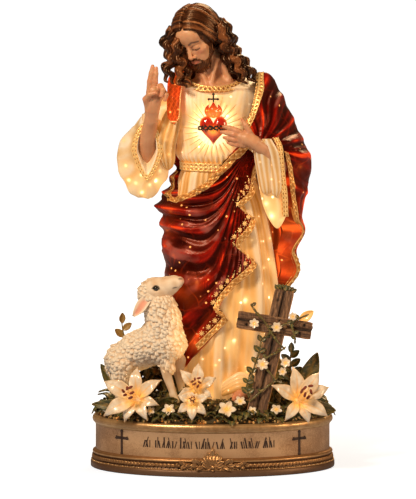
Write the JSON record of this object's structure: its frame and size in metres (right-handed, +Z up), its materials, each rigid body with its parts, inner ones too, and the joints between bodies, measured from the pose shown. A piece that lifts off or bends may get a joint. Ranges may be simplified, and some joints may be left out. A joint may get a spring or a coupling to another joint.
{
  "type": "good shepherd statuette",
  "caption": "Robed and mantled standing figure with a lit heart, a lamb, a plank cross and lilies on an oval plinth.",
  "frame": {"origin": "middle of the plinth's flat underside", "axes": "+Z up through the figure, +X to the viewer's right, the viewer in front looks along +Y"},
  "size_m": [0.1747, 0.1293, 0.3318],
  "materials": {
    "plinth_bronze": "satin bronze-brown paint with a fine grain and gilt mouldings",
    "gilt": "bright gilt, rubbed dark in the hollows",
    "mantle_red": "glassy deep red lacquer, maroon in the folds",
    "robe_cream": "translucent ivory with a warm glow from inside",
    "skin": "satin painted skin",
    "hair": "dark brown paint with copper lights",
    "heart_red": "clear red enamel",
    "fleece": "matt cream paint, ochre in the hollows",
    "planks": "painted weathered planks with lighter edges",
    "leaf": "dark olive paint dusted with gold",
    "petal": "pearly translucent white with golden throats"
  },
  "bodies": {
    "root": {"plinth": "plinth_bronze", "figure": "mantle_red", "lamb": "fleece", "wooden_cross": "planks", "lily_left": "petal", "lily_centre": "petal", "lily_centre_front": "petal", "lily_right": "petal", "flower_bed": "leaf"}
  },
  "joints": []
}
